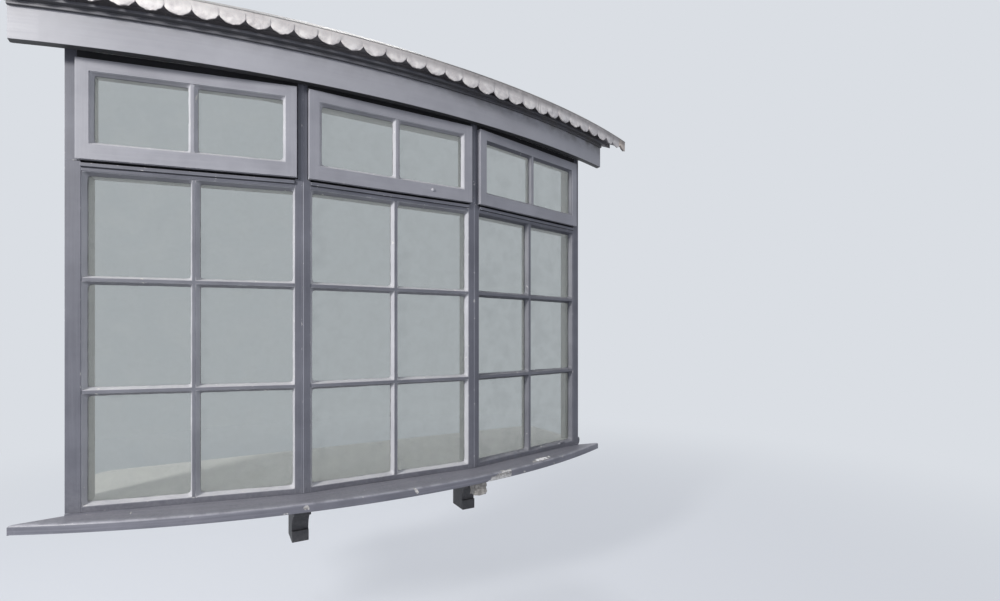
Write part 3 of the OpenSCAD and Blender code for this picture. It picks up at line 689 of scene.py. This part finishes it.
# radius and height along the profile, carried round an axis that points outwards
angle = np.linspace(0, 2 * np.pi, knob["cols"], endpoint=False)[None, :]
radius, height = profile[:, :1], profile[:, 1:]
points = np.stack([knob["x"] + radius * np.cos(angle), knob["face"] - height + 0 * angle,
                   knob["z"] + radius * np.sin(angle)], -1)
surface("vent_stop", [points], [ventEdge])

# filler in a split of the right bottom rail, and mastic at the right jamb's foot, all
# in the right light's own plan
lumps = {"filler_dark": {"place": (0.226, 0.0008, 0.0415), "seed": 3,
                         "size": (0.019, 0.0022, 0.0038), "slot": "putty_paint",
                         "paint": frameGloss["right"]},
         "filler_pale": {"place": (0.203, 0.0005, 0.040), "seed": 5,
                         "size": (0.007, 0.0018, 0.003), "slot": "putty_paint",
                         "paint": puttyGloss},
         "mastic_lump": {"place": (0.3545, 0.006, 0.034), "seed": 7,
                         "size": (0.0075, 0.007, 0.0155), "slot": "frame_paint",
                         "paint": frameGloss["up"]}}


def lumpPoints(place, size, seed):
    # an ellipsoid with a hand's unevenness; a point at latitude a and longitude b has
    # (cos a cos b, cos a sin b, sin a), made squarer by a power below 1
    lat = np.linspace(-np.pi / 2, np.pi / 2, 17)[:, None]
    lon = np.linspace(0, 2 * np.pi, 28, endpoint=False)[None, :]
    ball = np.stack([np.cos(lat) * np.cos(lon), np.cos(lat) * np.sin(lon),
                     np.sin(lat) + 0 * lon], -1)
    ball = np.sign(ball) * np.abs(ball) ** 0.8
    swell = 1 + 0.13 * waves(ball, 1.1, seed) + 0.06 * waves(ball, 0.45, seed + 1)
    return np.array(place) + ball * swell[..., None] * np.array(size)


for name, lump in lumps.items():
    points = setInPlan(sides["right"], lumpPoints(lump["place"], lump["size"],
                                                  lump["seed"]))
    surface(name, [points], [lump["paint"]])
print("small things: made")

# what keeps the CAD's own mesh
finishes = {f"{kind}_{side}": glass for side in sides
            for kind in ("fixed_glass", "vent_glass")}
finishes["roof_bearers"] = bearers
for name, finish in finishes.items():
    cad[name].data.materials.clear()
    cad[name].data.materials.append(finish)

# putty: a mitred bevel round each pane, drawn off by hand with a knife; the rows are
# the panes' heights, and the depths its front and back behind the light's face
putty = {"width": 0.008, "steps": 26, "across": 7, "hollow": 0.0006, "lap": 0.0010,
         "wander": 0.0005, "calm": 0.02, "blob": 0.0035, "blobReach": 0.007,
         "drifts": (23, 61, 140), "beads": (0.2, 1.0), "topBead": 0.1}
panes = {"fixed": {"half": bow["sightHalf"], "depths": (0.002, 0.0238), "seed": 0,
                   "rows": ((0.046, 0.378), (0.404, 0.727), (0.753, 1.067))},
         "vent": {"half": bow["ventSightHalf"], "depths": (-0.016, -0.0022), "seed": 50,
                  "rows": ((1.163, 1.370),)}}


def puttyRing(halfX, halfZ, front, back, seed):
    # four sides, each a grid along it and across its section. A point at outward
    # distance a from the sight edge lies on the side's line at (2t - 1)(half + a),
    # so the corners come out mitred; the face is a shallow hollow from front to back
    along = np.linspace(0, 1, putty["steps"], endpoint=False)
    share = np.linspace(0, 1, putty["across"])
    rng = np.random.default_rng(seed)
    rings = []
    for turn, (length, reach) in enumerate(((halfX, halfZ), (halfZ, halfX)) * 2):
        run = (2 * along - 1)[:, None]
        corner = (1 - np.abs(run)) * length
        quiet = np.clip(corner / putty["calm"], 0, 1)
        drift = sum(np.sin(run * length * k + rng.uniform(0, 6.28)) for k in
                    putty["drifts"]) / 2 * putty["wander"] * quiet
        # the knife left more in some corners, and hardly any along the top
        bead = putty["blob"] * np.exp(-(corner / putty["blobReach"]) ** 2)
        bead = bead * (rng.uniform(*putty["beads"]) if turn in (0, 1, 3)
                       else putty["topBead"])
        lapped = putty["lap"] + bead + drift
        out = putty["width"] * (1 - share)[None, :] - lapped * share
        hollow = putty["hollow"] * np.sin(np.pi * share)
        depth = front + (back - front) * share + hollow + 0 * run
        out = np.concatenate([out, np.full_like(run, putty["width"])], 1)
        depth = np.concatenate([depth, np.full_like(run, back)], 1)
        lengthways = run * (length + out)
        angle = turn * math.pi / 2
        x = lengthways * math.cos(angle) + (reach + out) * math.sin(angle)
        z = lengthways * math.sin(angle) - (reach + out) * math.cos(angle)
        rings.append(np.stack([x, depth, z], -1))
    return np.concatenate(rings)


bar = bow["bar"] / 2
for side, light in sides.items():
    for kind, pane in panes.items():
        rings = []
        seed = 100 * (light + 2) + pane["seed"]
        for left, right in ((-pane["half"], -bar), (bar, pane["half"])):
            for low, high in pane["rows"]:
                ring = puttyRing((right - left) / 2, (high - low) / 2, *pane["depths"],
                                 seed + len(rings))
                ring = ring + np.array([(left + right) / 2, 0, (low + high) / 2])
                rings.append(setInPlan(light, ring))
        # the right light takes the darker putty, which is painted shade
        surface(f"{kind}_putty_{side}_tooled", rings,
                [puttyShaded if side == "right" else puttyGloss],
                [f"{kind}_putty_{side}"], closeRows=True)
print("putty: tooled")

# the sill's wear, most of it right of the middle, by places along the sill
wear = {"patches": ((0.70, 0.20, 0.55), (-0.35, 0.25, 0.3)),  # place, reach, strength
        "push": 0.004, "sink": 0.0016, "noseIn": 0.002, "noseReach": 0.012,
        "noseLow": -0.019, "rubAndHighlightIn": 0.004, "rubAndHighlightReach": 0.0035, "rubAndHighlightLow": 0.004,
        # size and seed of each noise
        "coarse": (0.05, 11), "fine": (0.013, 12), "ragged": (0.006, 13),
        # a flake as long as a hand, off the nose beside the packing block, that gets
        # higher to the right
        "flake": 0.408, "flakeHalf": 0.078, "flakeLow": -0.020, "flakeRise": 0.036,
        "riseFrom": 0.325, "riseRun": 0.11, "flakeRagged": 0.004, "flakeFade": 0.003,
        "flakeDeep": 0.012,
        # and one on the slope: place and reach along the sill, then in from the nose
        "slope": (0.672, 0.058, 0.027, 0.013), "slopeSink": 0.0006}


def sillSurface():
    # angle round the arc by distance round the section; the section's inward
    # distances stop at the plane y = 0, centre / cos(angle) away from the centre
    limit = math.asin(sill["half"] / sill["radius"])
    angle = np.linspace(-limit, limit, sill["stations"])[:, None]
    farthest = sill["radius"] - sill["centre"] / np.cos(angle)
    bend = np.linspace(0, np.pi / 2, 8)
    r = sill["round"]
    topIn = np.concatenate([np.linspace(sill["deep"], sill["slopeRun"], 9),
                            np.linspace(sill["slopeRun"], sill["slopeTo"], 12)[1:],
                            r - r * np.sin(bend)])
    frontIn, frontZ = np.array(sill["front"]).T
    wide, skew = sill["dripWide"], sill["dripSide"]
    drip = sill["dripSet"] + np.array([0, skew, wide, wide + skew])
    inward = np.concatenate([topIn, frontIn, drip, [*sill["underStops"], sill["deep"]]])
    inward = np.minimum(inward[None, :] + 0 * angle, farthest)
    # the top is level, slopes down to the nose and turns over it in a quarter round
    near = inward[:, :len(topIn)]
    rise = (sill["foot"] - sill["nose"]) / (sill["slopeRun"] - r)
    slope = np.minimum(sill["foot"], sill["nose"] + (near - r) * rise)
    curl = sill["nose"] - r + np.sqrt(np.clip(r ** 2 - (r - near) ** 2, 0, None))
    top = np.where(near > r, slope, curl)
    far = inward[:, len(topIn) + len(frontIn):]
    inGroove = (far > drip[0] + skew / 2) & (far < drip[3] - skew / 2)
    under = np.where(inGroove, sill["under"] + sill["dripDeep"], sill["under"])
    level = np.concatenate([top, frontZ + 0 * angle, under], 1)
    points = onArc(sill, sill["radius"] - inward, angle, level)
    # worn nose: nibbles and small hollows
    x = points[..., 0]
    patch = sum(strong * np.exp(-((x - at) / wide) ** 2)
                for at, wide, strong in wear["patches"])
    nearNose = np.exp(-((inward - wear["noseIn"]) / wear["noseReach"]) ** 2)
    nearNose = nearNose * (level > wear["noseLow"])
    coarse, fine, ragged = (waves(points, *wear[grain])
                            for grain in ("coarse", "fine", "ragged"))
    worn = np.clip(0.55 * patch + 0.28 * coarse + 0.2 * fine - 0.36, 0, 1) * nearNose
    flake = 1 - np.clip(np.abs(x - wear["flake"]) / wear["flakeHalf"], 0, 1) ** 4
    reach = wear["flakeLow"] + wear["flakeRise"] * np.clip(
        (x - wear["riseFrom"]) / wear["riseRun"], 0, 1)
    reach = reach + wear["flakeRagged"] * fine
    flake = flake * np.clip((reach - level) / wear["flakeFade"], 0, 1)
    flake = flake * (inward < wear["flakeDeep"])
    flake = flake * np.clip(0.9 + 0.25 * ragged + 0.2 * coarse, 0, 1)
    at, long, deep, broad = wear["slope"]
    slope = np.exp(-((x - at) / long) ** 2 - ((inward - deep) / broad) ** 2)
    slope = np.clip(2.4 * slope + 0.45 * ragged + 0.3 * fine - 0.75, 0, 1) * (level > 0)
    bite = np.clip(np.maximum(worn, 0.35 * flake), 0, 1)
    points[..., 1] += wear["push"] * bite * np.cos(angle)
    points[..., 0] -= wear["push"] * bite * np.sin(angle)
    points[..., 2] -= wear["sink"] * bite * (level > 0) + wear["slopeSink"] * slope
    bare = np.maximum(np.clip(np.maximum(worn * 1.6, flake), 0, 1), 1.8 * slope)
    # paler along the nose's top edge: worn paint and a painted highlight
    rubAndHighlight = np.exp(-((inward - wear["rubAndHighlightIn"]) / wear["rubAndHighlightReach"]) ** 2)
    rubAndHighlight = rubAndHighlight * (level > wear["rubAndHighlightLow"])
    rubAndHighlight = rubAndHighlight * np.clip(0.75 + 0.35 * coarse + 0.2 * fine, 0, 1)
    return points, {"bare": bare, "rubAndHighlight": rubAndHighlight}


points, marks = sillSurface()
sillPiece = surface("sill_worn", [points], [sillPaint], ["sill"],
                    marks=marks)
sillPiece.data.set_sharp_from_angle(angle=math.radians(sill["sharp"]))

# level seat under the lights: the plan of the frame, cut at the plane y = 0
seat = {"under": 0.004, "back": 0.0005}
jambX = toPlan(1, bow["jamb"], 0.0)[0]
seatPlan = np.array([[-jambX, -seat["back"]], [-bow["halfPitch"], -bow["face"]],
                     [bow["halfPitch"], -bow["face"]], [jambX, -seat["back"]],
                     [jambX, 0.0], [-jambX, 0.0]])
points = np.stack([np.c_[seatPlan, np.full(len(seatPlan), level)]
                   for level in (sill["foot"], seat["under"])])
seatPiece = surface("sill_seat", [points], [sillPaint], smooth=False)
fillHoles(seatPiece, 8)
print("sill: worn")

# packing block: a weathered offcut, eaten away at its edges
block = {"planar": 0.57, "cuts": 9, "eaten": 0.0035, "seated": 0.003}
work = mergedCad("sill_block", block["planar"])
bmesh.ops.subdivide_edges(work, edges=work.edges, cuts=block["cuts"], use_grid_fill=True)
blockMesh = bpy.data.meshes.new("sill_block_weathered")
work.to_mesh(blockMesh)
work.free()
points = np.zeros(len(blockMesh.vertices) * 3)
blockMesh.vertices.foreach_get("co", points)
points = points.reshape(-1, 3)
low, high = points.min(0), points.max(0)
centre, size = (low + high) / 2, (high - low) / 2
# each point goes towards the middle, further near the edges and where the noise says
edge = np.sort(np.abs(points - centre) / size, 1)[:, 1]
eat = block["eaten"] * np.clip(edge ** 4 * (0.6 + 0.5 * waves(points, 0.02, 5))
                               + 0.25 * waves(points, 0.008, 6), 0, 1)
points = points - eat[:, None] * (points - centre) / size
# its top stays against the sill
points[:, 2] = np.where(points[:, 2] > high[2] - block["seated"], high[2], points[:, 2])
blockMesh.vertices.foreach_set("co", points.reshape(-1))
mark(blockMesh, "bare", np.clip(0.45 + 0.4 * waves(points, 0.03, 8), 0, 1))
asPiece("sill_block_weathered", blockMesh, [blockPaint],
        ["sill_block"])

# lead lobes: a row of dressed shells, no two alike
lobe = {"tipRows": 10, "topRows": 5, "cols": 17, "sag": 0.0235, "rim": 0.0024,
        "lap": 0.0016, "end": 0.0045, "endWide": 1.1, "wide": 1.012, "still": 0.006,
        "sway": 0.0015, "nibble": 0.0009, "dent": 0.0007, "least": 0.0010,
        "creamFrom": 1.232, "skin": 0.0004, "cuspDrop": 0.001, "leansRight": 0.75,
        "sags": (0.95, 1.08), "creeps": (0.85, 1.15),
        # from a place along the edge they are less and less alike
        "unlikeFrom": 0.15, "unlikeRun": 0.9, "swayMore": 0.003, "liftMore": 0.004}
# the sheet has crept: at a place along the edge (m), how far aside and down
creep = np.array([(-1.3, 0.006, 0.003), (-0.7, 0.006, 0.006), (-0.5, 0.005, 0.002),
                  (-0.33, -0.003, 0.0), (-0.2, -0.0025, 0.0), (0.0, 0.006, 0.002),
                  (0.14, 0.011, 0.007), (0.22, 0.010, 0.008), (0.34, 0.008, 0.018),
                  (0.6, 0.008, 0.018), (0.8, 0.008, 0.0135), (1.0, 0.012, 0.010),
                  (1.3, 0.010, 0.004)]).T


def lobeShell(number):
    # across u and down in rows: straight to the cusps, then a round tip, which is a
    # slice of a circle: half its width at a drop h is sqrt(R^2 - (R - sag + h)^2)
    rng = np.random.default_rng(300 + number)
    ends = (np.array([number, number + 1]) - roof["lobes"] / 2) * roof["lobePitch"]
    ends = ends + np.interp(ends, creep[0], creep[1])
    place = ends.mean()
    end = number in (0, roof["lobes"] - 1)
    right = np.clip((place - lobe["unlikeFrom"]) / lobe["unlikeRun"], 0, 1)
    half = (ends[1] - ends[0]) / 2 * (lobe["endWide"] if end else lobe["wide"])
    sag = lobe["sag"] * rng.uniform(*lobe["sags"]) * (1 - 0.1 * right)
    crept = np.interp(place, creep[0], creep[2]) * rng.uniform(*lobe["creeps"])
    high = roof["lobeHigh"] + crept
    circle = (half ** 2 + sag ** 2) / (2 * sag)
    cusp = high - sag - rng.uniform(0, lobe["cuspDrop"])
    drop = sag * np.sin(np.linspace(0, np.pi / 2, lobe["tipRows"]))[:, None]
    width = np.sqrt(np.clip(circle ** 2 - (circle - sag + drop) ** 2, 0, None))
    down = np.concatenate([np.linspace(0, cusp, lobe["topRows"])[:-1, None],
                           cusp + drop])
    width = np.concatenate([np.full((lobe["topRows"] - 1, 1), half), width])
    u = np.sin(np.linspace(-np.pi / 2, np.pi / 2, lobe["cols"]))[None, :]
    low = np.clip((down - lobe["still"]) / (high - lobe["still"]), 0, 1)
    sway = rng.uniform(-lobe["sway"], lobe["sway"] + lobe["swayMore"] * right)
    x = u * width + sway * low
    # each rim is nibbled a little
    rim = np.abs(u) ** 6 + np.clip((down - cusp) / sag, 0, 1) ** 4
    nibble = waves(np.stack([x, down + 0 * u, 0 * x + number], -1), 0.012, 70)
    nibble = lobe["nibble"] * rim * np.clip(nibble + 0.6, 0, 2)
    down = down - nibble * np.clip(low * 3, 0, 1)
    z = roof["lobeTop"] - down + 0 * u
    # flush with the sheet at the top; lower down the middle bulges, one side laps
    # over the neighbour's, and the rim is thin
    tip = np.clip((down - cusp) / sag, 0, 1)
    dome = (1 - np.abs(u) ** 2.4) * np.sqrt(np.clip(1 - tip ** 2.6, 0, 1))
    full = roof["lobeThick"] - lobe["skin"]
    out = full * (1 - low) + low * (lobe["rim"] + (full - lobe["rim"]) * dome)
    lean = 1 if rng.uniform() < lobe["leansRight"] else -1
    out = out + lobe["lap"] * (1 + 1.5 * right) * lean * u * low
    dent = waves(np.stack([x, z, 0 * x + number], -1), 0.02, 40 + number)
    out = out - lobe["dent"] * (1 + dent) * np.clip(low * 4, 0, 1)
    out = np.clip(out, lobe["least"], full + lobe["liftMore"] * right)
    out = out + lobe["end"] * end * low
    front = np.stack([x, out, z], -1)
    back = np.stack([x, 0 * x, z], -1)
    return np.concatenate([front, back[:, ::-1]], 1), place / roof["edge"]


shells = []
for number in range(roof["lobes"]):
    shell, angle = lobeShell(number)
    radius = roof["edge"] + shell[..., 1]
    x = radius * math.sin(angle) + shell[..., 0] * math.cos(angle)
    y = roof["centre"] - radius * math.cos(angle) + shell[..., 0] * math.sin(angle)
    # the last ones are cut off where the roof ends
    x = np.clip(x, -roof["half"], roof["half"])
    shells.append(np.stack([x, y, shell[..., 2]], -1))
lobes = surface("scalloped_edge_dressed", shells, [leadChalky, leadCream],
                ["scalloped_edge"])
paintFaces(lobes, np.abs(faceArrays(lobes)[0][:, 0]) > lobe["creamFrom"])
print("lobes:", roof["lobes"])

# lead roof: the sheet on the boards, softly dented
sheet = {"stations": 330, "rows": 26, "dent": 0.0011, "within": 0.9985, "least": 0.002}


def leadSheet():
    # angle round the arc by distance up the slope, which ends at the plane y = 0
    limit = math.asin(roof["half"] / roof["edge"]) * sheet["within"]
    angle = np.linspace(-limit, limit, sheet["stations"])[:, None]
    lip = roof["edge"] + roof["lobeThick"]
    nearest = roof["centre"] / np.cos(angle)
    share = np.linspace(0, 1, sheet["rows"])[None, :]
    radius = lip + (np.minimum(nearest, lip - sheet["least"]) - lip) * share
    slope = math.radians(roof["slope"])
    base = roof["lobeTop"] + np.clip(roof["edge"] - radius, 0, None) * math.tan(slope)
    lift = roof["leadThick"] / math.cos(slope)
    flat = onArc(roof, radius, angle, 0 * radius)
    dents = waves(flat, 0.09, 21) + 0.5 * waves(flat, 0.03, 22)
    top = base + lift - sheet["dent"] * np.clip(dents + 1, 0, 2) * np.sin(
        np.pi * np.clip(share, 0.02, 0.98))
    outer = onArc(roof, radius, angle, top)
    inner = onArc(roof, radius, angle, base)
    return np.concatenate([outer, inner[:, ::-1]], 1)


leadSkin = surface("lead_roof_dented", [leadSheet()], [leadRoofSheet],
                   ["lead_roof"])
for piece in (lobes, leadSkin):
    fillHoles(piece, 80)
print("lead: dressed")

# plain pale floor, soft studio light
studio = {"floor": "#cfd2d8", "sky": "#dadee4", "floorZ": -0.72, "reach": 30.0,
          "fill": 0.66, "shade": "#f4f7ff", "fadeFrom": 1.5, "fadeTo": 6.0,
          "lamp": (1.0, 0.985, 0.96)}
lamps = {"key": {"power": 330.0, "size": 0.9, "place": (-5.2, -2.4, 2.9),
                 "aim": (0.0, -0.1, 0.8)},
         "room": {"power": 42.0, "size": 1.2, "place": (0.5, 2.0, 3.7),
                  "aim": (0.0, 0.0, 0.7)}}


def seenRay(tree):
    # 1 for what the camera sees, straight, in a reflection or through the glass
    path = add(tree, "LightPath").outputs
    seen = add(tree, "Math", links={0: path["Is Camera Ray"], 1: path["Is Glossy Ray"]},
               operation="MAXIMUM")
    return add(tree, "Math", links={0: seen, 1: path["Is Transmission Ray"]},
               operation="MAXIMUM")


floorMesh = bpy.data.meshes.new("floor")
floorMesh.from_pydata([(x * studio["reach"], y * studio["reach"], studio["floorZ"])
                       for x, y in ((-1, -1), (1, -1), (1, 1), (-1, 1))],
                      [], [(0, 1, 2, 3)])
floorMatt, tree, place = newMaterial("studio_floor")
# seen by the camera, the floor fades into the sky with distance, so no horizon shows
away = add(tree, "VectorMath", links={0: place}, operation="LENGTH").outputs["Value"]
away = add(tree, "MapRange", {1: studio["fadeFrom"], 2: studio["fadeTo"], 3: 0.45},
           {0: away}, interpolation_type="SMOOTHSTEP")
fade = add(tree, "Math", links={0: seenRay(tree), 1: away}, operation="MULTIPLY")
matt = add(tree, "BsdfDiffuse", {"Color": linear(studio["floor"])})
glow = add(tree, "Emission", {"Color": linear(studio["sky"])})
both = add(tree, "MixShader", links={0: fade, 1: matt, 2: glow})
add(tree, "OutputMaterial", links={"Surface": both})
floorMesh.materials.append(floorMatt)
floor = inScene("floor", floorMesh)

world = bpy.data.worlds.new("studio")
bpy.context.scene.world = world
world.use_nodes = True
tree = world.node_tree
tree.nodes.clear()
soft = add(tree, "Background", {"Color": linear(studio["shade"]),
                                "Strength": studio["fill"]})
shown = add(tree, "Background", {"Color": linear(studio["sky"]), "Strength": 1.0})
both = add(tree, "MixShader", links={0: seenRay(tree), 1: soft, 2: shown})
add(tree, "OutputWorld", links={"Surface": both})

for name, settings in lamps.items():
    lamp = bpy.data.lights.new(name, "AREA")
    lamp.energy = settings["power"]
    lamp.size = settings["size"]
    lamp.color = studio["lamp"]
    holder = inScene(name, lamp)
    holder.location = settings["place"]
    x, y, z = np.array(settings["aim"]) - settings["place"]
    holder.rotation_euler = (math.atan2(math.hypot(x, y), -z), 0, math.atan2(-x, y))
bpy.context.scene.view_settings.view_transform = "Standard"
print("studio: lit")
